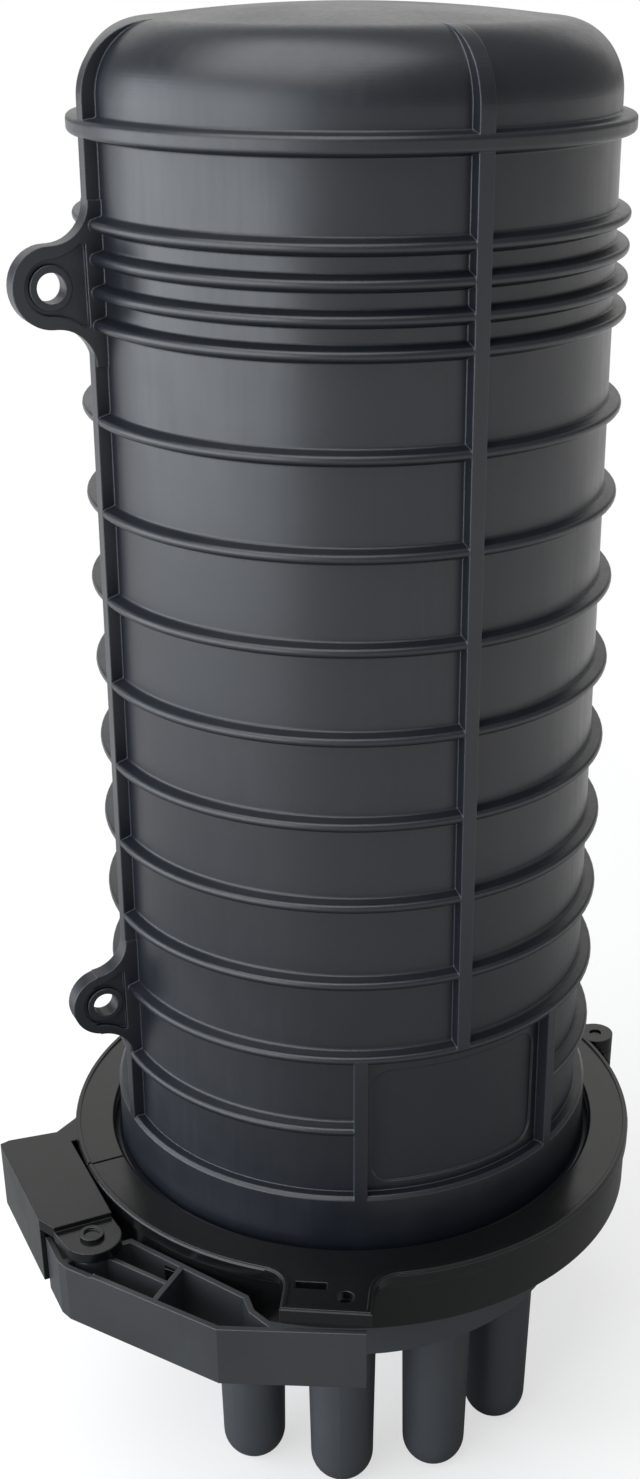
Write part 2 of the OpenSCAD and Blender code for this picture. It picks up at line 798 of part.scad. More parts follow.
module latch_lever() {
    web_t = 2.4;
    step = 0.7;
    color(grey) difference() {
        union() {
            translate([0, 0, lever_low]) linear_extrude(lever_h) lever_plan();
            translate([0, 0, lever_low]) linear_extrude(web_t) lever_web_plan();
            translate([-latch_x, -latch_y, lever_low])
                cylinder(r = lever_eye_r, h = eye_top - lever_low);
        }
        translate([-latch_x, -latch_y, lever_low - 1])
            cylinder(r = lug_r + 0.4, h = eye_low - lever_low + 1);
        translate([-arm_x, -latch_y - 15.4, lever_top - step]) cube([11.4, 34, 2 * step]);
        translate([lever_tail[0] - 3, lever_tail[1] + 1, lever_low - 1]) rotate([60, 0, 0])
            translate([0, -4, -8]) cube([6, 8, 8]);
        latch_bore();
        keeper_window();
    }
}

module latch_pin() {
    head_r = 4.6;
    color(black) difference() {
        translate([-latch_x, -latch_y, arm_low]) {
            cylinder(r = latch_pin_r, h = lug_top - arm_low);
            translate([0, 0, lug_top - arm_low]) cylinder(r = head_r, h = 1.5);
        }
        translate([-latch_x, -latch_y, lug_top + 0.6]) cylinder(r = head_r - 1.6, h = 3);
    }
}

// ---- frame and trays inside the dome ----

frame_z = floor_z + base_floor + post_h;
frame_top = frame_z + frame_h;
bracket_z = frame_z + 62;
bracket_h = 40;
tray_pitch = tray_depth + tray_gap;
tray_y0 = -22;
tray_z0 = bracket_z + bracket_h - 12;
tray_back = tray_y0 + tray_count * tray_pitch;

// Folded sheet frame: two uprights on turned-in feet, tied by two cross bars
module support_frame() {
    color("silver") difference() {
        union() {
            for (s = [-1, 1]) {
                translate([s > 0 ? upright_span / 2 : -upright_span / 2 - sheet_t,
                    -upright_w / 2, frame_z]) cube([sheet_t, upright_w, frame_h]);
                translate([s > 0 ? upright_span / 2 - 17 : -upright_span / 2, -14, frame_z])
                    cube([17, 28, sheet_t]);
                translate([s > 0 ? upright_span / 2 : -upright_span / 2 - sheet_t, -14, frame_z])
                    cube([sheet_t, 28, 20]);
            }
            for (z = [frame_z + 40, frame_top - 16])
                translate([-upright_span / 2 - eps, upright_w / 2 - sheet_t, z])
                    cube([upright_span + 2 * eps, sheet_t, 16]);
        }
        for (x = [-1, 1], y = [-1, 1])
            translate([x * foot_x, y * 7, frame_z - 1])
                cylinder(r = screw_r + 0.2, h = sheet_t + 2);
        for (s = [-1, 1])
            translate([s * (upright_span / 2 + sheet_t / 2), 0, bracket_z + bracket_h / 2])
                rotate([0, 90, 0]) cylinder(r = screw_r + 0.2, h = 2 * sheet_t, center = true);
        at_clamps() translate([-2, -3 * sheet_t, 0])
            rotate([-90, 0, 0]) cylinder(r = screw_r + 0.2, h = 4 * sheet_t);
    }
}

// A pan-headed screw standing on its head's seat, pointing down
module screw(len) {
    translate([0, 0, -len]) cylinder(r = screw_r, h = len);
    difference() {
        cylinder(r1 = 3.8, r2 = 3.2, h = 2.4);
        for (a = [0, 90]) rotate([0, 0, a]) translate([-2, -0.4, 1]) cube([4, 0.8, 2]);
    }
}

module frame_screws() {
    color("silver") for (x = [-1, 1], y = [-1, 1])
        translate([x * foot_x, y * 7, frame_z + sheet_t]) screw(sheet_t + post_h - 0.5);
}

// Moulded block across the frame, with one pair of hinge eyes for each tray
eye_r = 3.6;
tray_pin_r = 2;
basket_y = tray_back + 3;
basket_d = 26;
module tray_bracket() {
    inside = upright_span - 0.4;
    color(grey) difference() {
        union() {
            translate([-inside / 2, -upright_w / 2, bracket_z]) cube([inside, upright_w - sheet_t, bracket_h - 22]);
            for (s = [-1, 1])
                translate([s > 0 ? inside / 2 - 3 : -inside / 2, -upright_w / 2, bracket_z])
                    cube([3, upright_w - sheet_t, bracket_h - 12]);
            translate([-30, tray_y0, bracket_z]) cube([60, tray_back - tray_y0 + 2.7, 12]);
            translate([-30, tray_back, bracket_z]) cube([60, 2.7, bracket_h - 4]);
            translate([-30, tray_back, bracket_z + bracket_h - 7]) cube([60, basket_d, 3]);
            for (i = [0:tray_count - 1], s = [-1, 1])
                translate([s * 26, tray_y0 + (i + 0.5) * tray_pitch - tray_gap / 2, 0]) {
                    translate([-2.5, -tray_depth / 2 + 0.6, bracket_z])
                        cube([5, tray_depth - 1.2, bracket_h - 18]);
                    translate([0, 0, bracket_z + bracket_h - 18]) rotate([0, 90, 0])
                        cylinder(r = eye_r, h = 5, center = true);
                }
        }
        for (i = [0:tray_count - 1])
            translate([0, tray_y0 + (i + 0.5) * tray_pitch - tray_gap / 2, bracket_z + bracket_h - 18])
                rotate([0, 90, 0]) cylinder(r = tray_pin_r + pin_clear, h = 80, center = true);
        for (s = [-1, 1])
            translate([s * inside / 2, 0, bracket_z + bracket_h / 2]) rotate([0, 90, 0])
                cylinder(r = screw_r + pin_clear, h = 20, center = true);
    }
}

module bracket_screws() {
    color("silver") for (s = [-1, 1])
        translate([s * (upright_span / 2 + sheet_t), 0, bracket_z + bracket_h / 2])
            rotate([0, s * 90, 0]) screw(sheet_t + 8);
}

// Plan of a tray: a rectangle with round corners, drawn in by inset
module tray_plan(inset) {
    c = 14 - inset;
    w = tray_w / 2 - inset;
    translate([-w + c, inset]) square([2 * (w - c), tray_len - 2 * inset]);
    translate([-w, inset + c]) square([2 * w, tray_len - 2 * inset - 2 * c]);
    for (x = [-1, 1], z = [inset + c, tray_len - inset - c])
        translate([x * (w - c), z]) circle(c, $fn = 48);
}

// One splice tray: rim, floor, two routing drums, the splice comb and the hinge pins
module tray(i) {
    y_mid = (i + 0.5) * tray_pitch - tray_gap / 2;
    comb_pitch = (tray_w - 30) / splice_places;
    translate([0, tray_y0 + y_mid + tray_depth / 2, tray_z0]) rotate([90, 0, 0]) {
        difference() {
            linear_extrude(tray_depth) tray_plan(0);
            translate([0, 0, tray_wall]) linear_extrude(tray_depth) tray_plan(tray_wall);
            for (s = [-1, 1])
                translate([s * 30 - 6, -1, tray_wall]) cube([12, 6, tray_depth]);
        }
        for (z = [46, tray_len - 46]) translate([0, z, 0]) difference() {
            cylinder(r = 26, h = tray_depth - 1.4);
            translate([0, 0, tray_wall]) cylinder(r = 24.4, h = tray_depth);
        }
        for (k = [0:splice_places])
            translate([-tray_w / 2 + 15 + k * comb_pitch - 0.6, tray_len / 2 - 22, 0])
                cube([1.2, 44, tray_depth - 2.6]);
        for (s = [-1, 1], z = [40, tray_len / 2, tray_len - 40])
            translate([s > 0 ? tray_w / 2 - 9 : -tray_w / 2 + 1, z - 6, tray_depth - 1.2])
                cube([8, 12, 1.2]);
        for (s = [-1, 1]) {
            translate([s * 26 + (s > 0 ? 3.2 : -7.2), -8, 0.8]) cube([4, 9, tray_depth - 1.6]);
            translate([s * 26 + (s > 0 ? -2.5 : -4.7), -6, tray_depth / 2]) rotate([0, 90, 0])
                cylinder(r = tray_pin_r, h = 7.2);
        }
    }
}

module splice_tray_1() { color("gainsboro") tray(0); }
module splice_tray_2() { color("gainsboro") tray(1); }
module splice_tray_3() { color("gainsboro") tray(2); }
module splice_tray_4() { color("gainsboro") tray(3); }

// Clear cover on the front tray
module tray_cover() {
    cover_t = 1.4;
    color([0.85, 0.9, 0.95, 0.5])
        translate([0, tray_y0, tray_z0]) rotate([90, 0, 0]) difference() {
            linear_extrude(cover_t) tray_plan(0.4);
            translate([0, tray_len - 12, -1]) cylinder(r = 6, h = 4);
        }
}

// Strap that holds the stack of trays together
module tray_strap() {
    strap_t = 1.2;
    strap_w = 20;
    front = tray_y0 - 1.4;
    color("black") translate([0, 0, tray_z0 + tray_len * 0.72]) linear_extrude(strap_w)
        difference() {
            translate([-tray_w / 2 - strap_t, front - strap_t])
                square([tray_w + 2 * strap_t, tray_back - tray_gap - front + 2 * strap_t]);
            translate([-tray_w / 2, front]) square([tray_w, tray_back - tray_gap - front]);
        }
}

// Open basket for spare loose tubes behind the trays
module storage_basket() {
    w = 100;
    h = 190;
    t = 1.8;
    z0 = bracket_z + bracket_h - 4;
    color(grey) translate([-w / 2, basket_y, z0]) {
        difference() {
            cube([w, basket_d, h]);
            translate([t, t, t]) cube([w - 2 * t, basket_d, h - 2 * t]);
            for (x = [0:3]) translate([14 + x * 20, -1, 24]) cube([12, t + 2, h - 48]);
        }
        for (x = [0.2, 0.5, 0.8], z = [0, 1])
            translate([x * w - 6, basket_d - t, z > 0 ? h - 14 : 0]) cube([12, t, 14]);
    }
}

// Saddles that grip the cables' strength members, one for each port
module at_clamps() {
    for (x = [-36, -12, 12, 36]) translate([x, upright_w / 2, frame_z + 48]) children();
}

module strength_clamps() {
    color("silver") at_clamps() difference() {
        translate([-6, 0, -5]) cube([12, 6, 10]);
        translate([3.2, 0.6, -6]) cylinder(r = 1.6, h = 12);
        translate([-2, -1, 0]) rotate([-90, 0, 0]) cylinder(r = screw_r + 0.2, h = 8);
    }
}

module clamp_screws() {
    color("silver") at_clamps() translate([-2, 6, 0]) rotate([-90, 0, 0]) screw(6 + sheet_t + 1);
}

module earth_bolt() {
    color("silver") translate([earth_pos[0], earth_pos[1], floor_z - 1.6]) {
        translate([0, 0, -5]) cylinder(r = 7.2, h = 5, $fn = 6);
        cylinder(r = earth_r, h = 26);
    }
}

module earth_washer() {
    color("black") translate([earth_pos[0], earth_pos[1], floor_z - 1.6]) difference() {
        cylinder(r = 8, h = 1.6);
        translate([0, 0, -1]) cylinder(r = earth_r + pin_clear, h = 4);
    }
}

module earth_nut() {
    color("silver") translate([earth_pos[0], earth_pos[1], floor_z + base_floor]) difference() {
        union() {
            cylinder(r = 8.5, h = 1.5);
            translate([0, 0, 1.5]) cylinder(r = 7.2, h = 6.4, $fn = 6);
        }
        translate([0, 0, -1]) cylinder(r = earth_r + pin_clear, h = 12);
    }
}

dome();
base();
seal_ring();
clamp_rear();
clamp_front();
clamp_hinge_pin();
latch_lever();
latch_pin();
support_frame();
frame_screws();
tray_bracket();
bracket_screws();
splice_tray_1();
splice_tray_2();
splice_tray_3();
splice_tray_4();
tray_cover();
tray_strap();
storage_basket();
strength_clamps();
clamp_screws();
earth_bolt();
earth_washer();
earth_nut();
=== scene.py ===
"""Looks of a dome splice closure: a ribbed dome on a ported base, held by a hinged clamp ring.

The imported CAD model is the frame, and its solids are dressed in their finishes. The small edge
radii of the mouldings come from the plastics' own shading. Made here, beside the solids: the cross
rib in the latch arm, and the strap round the trays.
"""
import logging
import math
from dataclasses import dataclass, field, fields
from enum import Enum
from typing import Any, Dict, List, Optional, Sequence, Tuple

import bmesh
import bpy
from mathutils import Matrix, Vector


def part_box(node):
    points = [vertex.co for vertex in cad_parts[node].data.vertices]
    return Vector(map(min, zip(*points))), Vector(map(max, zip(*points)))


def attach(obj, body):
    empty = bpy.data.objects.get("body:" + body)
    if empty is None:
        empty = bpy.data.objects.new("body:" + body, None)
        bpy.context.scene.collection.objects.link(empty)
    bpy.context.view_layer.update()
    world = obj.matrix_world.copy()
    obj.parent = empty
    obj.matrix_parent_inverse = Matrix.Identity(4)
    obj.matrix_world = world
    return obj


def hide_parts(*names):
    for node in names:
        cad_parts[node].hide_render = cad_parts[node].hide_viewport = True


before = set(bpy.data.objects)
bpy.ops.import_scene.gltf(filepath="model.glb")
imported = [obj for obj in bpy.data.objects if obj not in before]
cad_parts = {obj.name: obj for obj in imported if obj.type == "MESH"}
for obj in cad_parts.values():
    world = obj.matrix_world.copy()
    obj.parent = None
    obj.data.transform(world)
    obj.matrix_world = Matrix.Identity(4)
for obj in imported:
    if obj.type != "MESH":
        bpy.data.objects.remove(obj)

logging.basicConfig(level=logging.INFO, format="%(message)s")
log = logging.getLogger("closure")

Colour = Tuple[float, float, float, float]
Point = Tuple[float, float, float]

MM = 1000  # millimetres in a metre; a texture's scale is MM over the size of its pattern
WAVE_TURN = 20  # radians that a wave texture of scale 1 turns in a metre
WHITE: Colour = (1.0, 1.0, 1.0, 1.0)


class Body(Enum):
    """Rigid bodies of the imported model."""

    ROOT = "root"
    CLAMP = "clamp_half"
    LEVER = "lever"


def linear(hex_colour: str) -> Colour:
    """Turns an sRGB hex colour to linear light.

    Args:
        hex_colour: Colour such as "#2a2c2e".

    Returns:
        Linear red, green and blue, and full opacity.
    """
    parts = [int(hex_colour[i : i + 2], 16) / 255 for i in (1, 3, 5)]
    rgb = [c / 12.92 if c <= 0.04045 else ((c + 0.055) / 1.055) ** 2.4 for c in parts]
    return rgb[0], rgb[1], rgb[2], 1.0


def node(
    tree: bpy.types.NodeTree,
    kind: str,
    settings: Optional[Dict[str, Any]] = None,
    inputs: Optional[Dict[Any, Any]] = None,
    links: Optional[Dict[Any, bpy.types.NodeSocket]] = None,
) -> bpy.types.Node:
    """Adds a node with its settings, socket values and links.

    Args:
        tree: Node tree to add to.
        kind: Node type, such as "ShaderNodeTexNoise".
        settings: Attributes of the node.
        inputs: Values by socket name or number.
        links: Output sockets of other nodes by socket name or number.

    Returns:
        The new node.
    """
    made = tree.nodes.new(kind)
    for key, value in (settings or {}).items():
        setattr(made, key, value)
    for key, value in (inputs or {}).items():
        made.inputs[key].default_value = value
    for key, socket in (links or {}).items():
        tree.links.new(socket, made.inputs[key])
    return made


# ---- finishes ----


def blank(name: str) -> bpy.types.Material:
    """Makes a material with an empty node tree."""
    mat = bpy.data.materials.new(name)
    mat.use_nodes = True
    mat.node_tree.nodes.clear()
    return mat


def object_place(tree: bpy.types.NodeTree) -> bpy.types.NodeSocket:
    """Gives the place on the piece, in metres, for a texture to follow."""
    return node(tree, "ShaderNodeTexCoord").outputs["Object"]


def noise(
    tree: bpy.types.NodeTree,
    place: bpy.types.NodeSocket,
    scale: float,
    detail: float,
    roughness: float = 0.5,
) -> bpy.types.NodeSocket:
    """Adds a noise texture.

    Args:
        tree: Node tree to add to.
        place: Where the noise is read.
        scale: Scale of the noise.
        detail: Octaves.
        roughness: Share that the finer octaves keep.

    Returns:
        The noise, around 0.5.
    """
    return node(
        tree,
        "ShaderNodeTexNoise",
        inputs={"Scale": scale, "Detail": detail, "Roughness": roughness},
        links={"Vector": place},
    ).outputs["Fac"]


def close(tree: bpy.types.NodeTree, surface: bpy.types.NodeSocket) -> None:
    """Leads a shader to the material's output."""
    node(tree, "ShaderNodeOutputMaterial", links={"Surface": surface})


@dataclass(frozen=True)
class MouldedPlastic:
    """Injection-moulded plastic: eroded grain, flow mottling, drag marks, and edges painted
    lighter, partly as rubbed wear and partly as a painted highlight.

    The grain is drawn coarser than a real mould's, so that it still shows from a metre away.
    """

    name: str
    colour: str
    lighter: str
    # colour painted on the edges: rubbed wear together with a painted highlight standing in for the
    # light the rounded edges catch
    rubbed_and_highlight: str
    roughness: float = 0.45
    roughness_spread: float = 0.08
    grain_mm: float = 1.1
    grain_height_mm: float = 0.05
    grain_strength: float = 0.35
    mottle_mm: float = 55.0
    mottle_range: Tuple[float, float] = (0.35, 0.68)
    drag_mm: Point = (2.4, 2.4, 60.0)
    drag_range: Tuple[float, float] = (0.42, 0.75)
    drag_gloss: Tuple[float, float] = (-0.01, 0.04)
    edge_mm: float = 0.7
    edge_range: Tuple[float, float] = (0.97, 0.80)
    edge_rub_and_highlight: float = 0.75
    specular: float = 0.5
    ior: float = 1.5

    def build(self) -> bpy.types.Material:
        """Makes the material."""
        mat = blank(self.name)
        tree = mat.node_tree
        place = object_place(tree)
        mottle = noise(tree, place, MM / self.mottle_mm, detail=5.0, roughness=0.6)
        # marks of the mould's draw: thin, and drawn out along the height
        drawn = node(
            tree,
            "ShaderNodeMapping",
            inputs={"Scale": [MM / size for size in self.drag_mm]},
            links={"Vector": place},
        )
        drag = noise(tree, drawn.outputs["Vector"], 1.0, detail=3.0, roughness=0.55)
        tone = node(
            tree,
            "ShaderNodeMix",
            {"data_type": "RGBA"},
            {6: linear(self.colour), 7: linear(self.lighter)},
            {0: mottle},
        )
        # the small radius of every moulded edge, and how far it turns the skin
        rounded = node(
            tree, "ShaderNodeBevel", {"samples": 6}, {"Radius": self.edge_mm / MM}
        ).outputs["Normal"]
        skin_way = node(tree, "ShaderNodeNewGeometry").outputs["Normal"]
        turned = node(
            tree,
            "ShaderNodeVectorMath",
            {"operation": "DOT_PRODUCT"},
            links={0: rounded, 1: skin_way},
        )
        edge = node(
            tree,
            "ShaderNodeMapRange",
            inputs={
                "From Min": self.edge_range[0],
                "From Max": self.edge_range[1],
                "To Min": 0.0,
                "To Max": self.edge_rub_and_highlight,
            },
            links={"Value": turned.outputs["Value"]},
        )
        # edges painted lighter: partly rubbed wear, partly a painted highlight in place of the
        # lamps' light on the rounded edges
        worn_and_highlight = node(
            tree,
            "ShaderNodeMix",
            {"data_type": "RGBA"},
            {7: linear(self.rubbed_and_highlight)},
            {0: edge.outputs["Result"], 6: tone.outputs[2]},
        )
        rub = node(
            tree,
            "ShaderNodeMapRange",
            inputs={
                "From Min": self.mottle_range[0],
                "From Max": self.mottle_range[1],
                "To Min": self.roughness - self.roughness_spread,
                "To Max": self.roughness + self.roughness_spread,
            },
            links={"Value": mottle},
        )
        streaks = node(
            tree,
            "ShaderNodeMapRange",
            inputs={
                "From Min": self.drag_range[0],
                "From Max": self.drag_range[1],
                "To Min": self.drag_gloss[0],
                "To Max": self.drag_gloss[1],
            },
            links={"Value": drag},
        )
        gloss = node(
            tree,
            "ShaderNodeMath",
            {"operation": "ADD"},
            links={0: rub.outputs["Result"], 1: streaks.outputs["Result"]},
        )
        grain = noise(tree, place, MM / self.grain_mm, detail=2.0)
        bump = node(
            tree,
            "ShaderNodeBump",
            inputs={"Strength": self.grain_strength, "Distance": self.grain_height_mm / MM},
            links={"Height": grain, "Normal": rounded},
        )
        skin = node(
            tree,
            "ShaderNodeBsdfPrincipled",
            inputs={"IOR": self.ior, "Specular IOR Level": self.specular},
            links={
                "Base Color": worn_and_highlight.outputs[2],
                "Roughness": gloss.outputs[0],
                "Normal": bump.outputs["Normal"],
            },
        )
        close(tree, skin.outputs["BSDF"])
        return mat


@dataclass(frozen=True)
class Steel:
    """Stainless steel, brushed along its height."""

    name: str
    colour: str = "#b9b7b1"
    roughness: Tuple[float, float] = (0.22, 0.44)
    stroke_mm: Point = (0.35, 0.35, 14.0)
    stroke_depth_mm: float = 0.03
    stroke_strength: float = 0.15

    def build(self) -> bpy.types.Material:
        """Makes the material."""
        mat = blank(self.name)
        tree = mat.node_tree
        place = object_place(tree)
        along = node(
            tree,
            "ShaderNodeMapping",
            inputs={"Scale": [MM / size for size in self.stroke_mm]},
            links={"Vector": place},
        )
        strokes = noise(tree, along.outputs["Vector"], 1.0, detail=3.0)
        rough = node(
            tree,
            "ShaderNodeMapRange",
            inputs={"To Min": self.roughness[0], "To Max": self.roughness[1]},
            links={"Value": strokes},
        )
        bump = node(
            tree,
            "ShaderNodeBump",
            inputs={"Strength": self.stroke_strength, "Distance": self.stroke_depth_mm / MM},
            links={"Height": strokes},
        )
        skin = node(
            tree,
            "ShaderNodeBsdfPrincipled",
            inputs={"Base Color": linear(self.colour), "Metallic": 1.0},
            links={"Roughness": rough.outputs["Result"], "Normal": bump.outputs["Normal"]},
        )
        close(tree, skin.outputs["BSDF"])
        return mat


@dataclass(frozen=True)
class ClearSheet:
    """Clear moulded polycarbonate with faint flow waves and fine handling haze."""

    name: str
    colour: str = "#eef4f6"
    ior: float = 1.58
    transmission: float = 0.9
    haze_mm: float = 9.0
    haze_range: Tuple[float, float] = (0.4, 0.75)
    roughness: Tuple[float, float] = (0.05, 0.22)
    wave_mm: float = 28.0
    wave_height_mm: float = 0.06
    wave_strength: float = 0.3

    def build(self) -> bpy.types.Material:
        """Makes the material."""
        mat = blank(self.name)
        tree = mat.node_tree
        place = object_place(tree)
        haze = noise(tree, place, MM / self.haze_mm, detail=5.0)
        rough = node(
            tree,
            "ShaderNodeMapRange",
            inputs={
                "From Min": self.haze_range[0],
                "From Max": self.haze_range[1],
                "To Min": self.roughness[0],
                "To Max": self.roughness[1],
            },
            links={"Value": haze},
        )
        waves = noise(tree, place, MM / self.wave_mm, detail=1.0)
        bump = node(
            tree,
            "ShaderNodeBump",
            inputs={"Strength": self.wave_strength, "Distance": self.wave_height_mm / MM},
            links={"Height": waves},
        )
        skin = node(
            tree,
            "ShaderNodeBsdfPrincipled",
            inputs={
                "Base Color": linear(self.colour),
                "IOR": self.ior,
                "Transmission Weight": self.transmission,
            },
            links={"Roughness": rough.outputs["Result"], "Normal": bump.outputs["Normal"]},
        )
        close(tree, skin.outputs["BSDF"])
        return mat


@dataclass(frozen=True)
class Webbing:
    """Woven hook-and-loop strap. The weave is drawn coarser than real webbing, so that it shows."""

    name: str
    colour: str = "#1b1c1e"
    roughness: float = 0.85
    sheen: float = 0.35
    thread_mm: float = 0.9 * math.tau
    thread_waver: float = 0.6
    weave_height_mm: float = 0.3
    weave_strength: float = 0.6

    def build(self) -> bpy.types.Material:
        """Makes the material."""
        mat = blank(self.name)
        tree = mat.node_tree
        place = object_place(tree)
        scale = MM * math.tau / self.thread_mm / WAVE_TURN
        weave = [
            node(
                tree,
                "ShaderNodeTexWave",
                {"bands_direction": axis},
                {"Scale": scale, "Distortion": self.thread_waver},
                {"Vector": place},
            ).outputs["Fac"]
            for axis in ("X", "Z")
        ]
        both = node(
            tree,
            "ShaderNodeMath",
            {"operation": "MULTIPLY"},
            links={0: weave[0], 1: weave[1]},
        )
        bump = node(
            tree,
            "ShaderNodeBump",
            inputs={"Strength": self.weave_strength, "Distance": self.weave_height_mm / MM},
            links={"Height": both.outputs[0]},
        )
        skin = node(
            tree,
            "ShaderNodeBsdfPrincipled",
            inputs={
                "Base Color": linear(self.colour),
                "Roughness": self.roughness,
                "Sheen Weight": self.sheen,
            },
            links={"Normal": bump.outputs["Normal"]},
        )
        close(tree, skin.outputs["BSDF"])
        return mat


@dataclass(frozen=True)
class Studio:
    """Pale matt floor, which runs out to plain white and keeps the closure's shadow.

    The camera sees it in its own colour under a veil of white; what it throws back at the closure
    is the darker bounce colour. It fades to white between the near and far radius, in metres.
    """

    name: str
    colour: str = "#fafafa"
    bounce: str = "#8c8c8c"
    near: float = 0.3
    far: float = 0.85
    veil: float = 0.62

    def build(self) -> bpy.types.Material:
        """Makes the material."""
        mat = blank(self.name)
        tree = mat.node_tree
        paths = node(tree, "ShaderNodeLightPath").outputs
        paint = node(
            tree,
            "ShaderNodeMix",
            {"data_type": "RGBA"},
            {6: linear(self.bounce), 7: linear(self.colour)},
            {0: paths["Is Camera Ray"]},
        )
        matt = node(
            tree,
            "ShaderNodeBsdfDiffuse",
            inputs={"Roughness": 0.5},
            links={"Color": paint.outputs[2]},
        )
        white = node(tree, "ShaderNodeEmission", inputs={"Color": WHITE, "Strength": 1.0})
        place = object_place(tree)
        reach = node(tree, "ShaderNodeVectorMath", {"operation": "LENGTH"}, links={0: place})
        fade = node(
            tree,
            "ShaderNodeMapRange",
            {"interpolation_type": "SMOOTHSTEP"},
            {"From Min": self.near, "From Max": self.far},
            {"Value": reach.outputs["Value"]},
        )
        mirrored = node(
            tree,
            "ShaderNodeMath",
            {"operation": "MAXIMUM"},
            links={0: paths["Is Glossy Ray"], 1: paths["Is Transmission Ray"]},
        )
        seen = node(
            tree,
            "ShaderNodeMath",
            {"operation": "MAXIMUM"},
            links={0: mirrored.outputs[0], 1: paths["Is Camera Ray"]},
        )
        far = node(
            tree,
            "ShaderNodeMath",
            {"operation": "MULTIPLY"},
            links={0: fade.outputs["Result"], 1: seen.outputs[0]},
        )
        near = node(
            tree,
            "ShaderNodeMath",
            {"operation": "MULTIPLY"},
            {1: self.veil},
            {0: paths["Is Camera Ray"]},
        )
        amount = node(
            tree,
            "ShaderNodeMath",
            {"operation": "MAXIMUM"},
            links={0: far.outputs[0], 1: near.outputs[0]},
        )
        mix = node(
            tree,
            "ShaderNodeMixShader",
            links={0: amount.outputs[0], 1: matt.outputs[0], 2: white.outputs[0]},
        )
        close(tree, mix.outputs[0])
        return mat


@dataclass
class Finishes:
    """Every material of the closure, one for each real finish."""

    # Polypropylene copolymer, black, satin: the dome's mould has a fine eroded grain, so light
    # from the side gives a soft bluish-grey sheen with no sharp reflections.
    dome: MouldedPlastic = MouldedPlastic(
        "polypropylene_black_satin",
        colour="#11151b",
        lighter="#181c24",
        rubbed_and_highlight="#50565f",
        roughness=0.36,
        roughness_spread=0.05,
        specular=0.6,
    )
    # Glass-filled polyamide, black: polished mould, glossier than the dome, faint cloudy flow.
    clamp: MouldedPlastic = MouldedPlastic(
        "polyamide_black_glass_filled",
        colour="#0c0d0e",
        lighter="#131414",
        rubbed_and_highlight="#343637",
        roughness=0.2,
        roughness_spread=0.06,
        grain_mm=1.4,
        grain_height_mm=0.004,
        edge_mm=0.6,
    )
    # Glass-filled polyamide, dark grey: matt lever with a dry, slightly cloudy skin.
    lever: MouldedPlastic = MouldedPlastic(
        "polyamide_grey_glass_filled",
        colour="#2b2d2f",
        lighter="#343638",
        rubbed_and_highlight="#55585a",
        roughness=0.38,
        roughness_spread=0.06,
        edge_mm=0.5,
        specular=0.75,
    )
    # Polypropylene, dark grey: base and its ports, satin, a soft spread of light with no glints.
    base: MouldedPlastic = MouldedPlastic(
        "polypropylene_grey_satin",
        colour="#414448",
        lighter="#4a4d51",
        rubbed_and_highlight="#5e6165",
        roughness=0.44,
        roughness_spread=0.06,
    )
    # Silicone rubber, black: matt and even, swallows most light.
    rubber: MouldedPlastic = MouldedPlastic(
        "silicone_rubber_black",
        colour="#161616",
        lighter="#1c1c1c",
        rubbed_and_highlight="#262626",
        roughness=0.7,
        roughness_spread=0.04,
        grain_mm=0.8,
        grain_height_mm=0.02,
    )
    # ABS, light grey: splice trays and basket, semi-matt, bright with blurred highlights.
    tray: MouldedPlastic = MouldedPlastic(
        "abs_light_grey",
        colour="#c9cbca",
        lighter="#d4d5d4",
        rubbed_and_highlight="#dcdddc",
        roughness=0.42,
        roughness_spread=0.05,
    )
    # Stainless steel sheet and screws: fine upright strokes that draw highlights out sideways.
    steel: Steel = Steel("stainless_steel_brushed")
    # Polycarbonate cover, clear: the tray shows through it, a little bent by slow waves, with a
    # patchy haze from handling.
    cover: ClearSheet = ClearSheet("polycarbonate_clear")
    # Polyamide hook-and-loop webbing: dull black weave with a pale sheen at grazing light.
    strap: Webbing = Webbing("polyamide_webbing_black")

    def make(self) -> Dict[str, bpy.types.Material]:
        """Builds every material.

        Returns:
            Materials by the field's name.
        """
        return {entry.name: getattr(self, entry.name).build() for entry in fields(self)}


# ---- pieces ----


def dress(name: str, material: bpy.types.Material) -> None:
    """Gives a CAD node's own object a material.

    Args:
        name: CAD node.
        material: Finish.
    """
    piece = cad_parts[name]
    piece.data.materials.clear()
    piece.data.materials.append(material)
    log.info("dressed %s", name)


@dataclass
class Closure:
    """The closure's outer mouldings, each with the finish of its plastic."""

    finish_of: Dict[str, str] = field(
        default_factory=lambda: {
            "dome": "dome",
            "base": "base",
            "clamp_rear": "clamp",
            "clamp_front": "clamp",
            "clamp_hinge_pin": "clamp",
            "latch_lever": "lever",
            "latch_pin": "clamp",
        }
    )

    def build(self, finishes: Dict[str, bpy.types.Material]) -> None:
        """Dresses the outer pieces and puts the rib into the arm.

        Args:
            finishes: Materials by name.
        """
        for name, finish in self.finish_of.items():
            dress(name, finishes[finish])
        ArmStiffener().build(finishes["clamp"])


def finished(
    bm: bmesh.types.BMesh, name: str, material: bpy.types.Material, body: Body
) -> bpy.types.Object:
    """Closes a bmesh into an object that rides on a body.

    Args:
        bm: The finished shape, in metres, in its place.
        name: Name of the piece.
        material: Finish.
        body: Body that the piece rides on.

    Returns:
        The new piece.
    """
    bmesh.ops.remove_doubles(bm, verts=bm.verts, dist=1e-6)
    bmesh.ops.recalc_face_normals(bm, faces=bm.faces)
    mesh = bpy.data.meshes.new(name)
    bm.to_mesh(mesh)
    bm.free()
    mesh.materials.append(material)
    piece = bpy.data.objects.new(name, mesh)
    bpy.context.scene.collection.objects.link(piece)
    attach(piece, body.value)
    log.info("made %s: %d faces", name, len(mesh.polygons))
    return piece


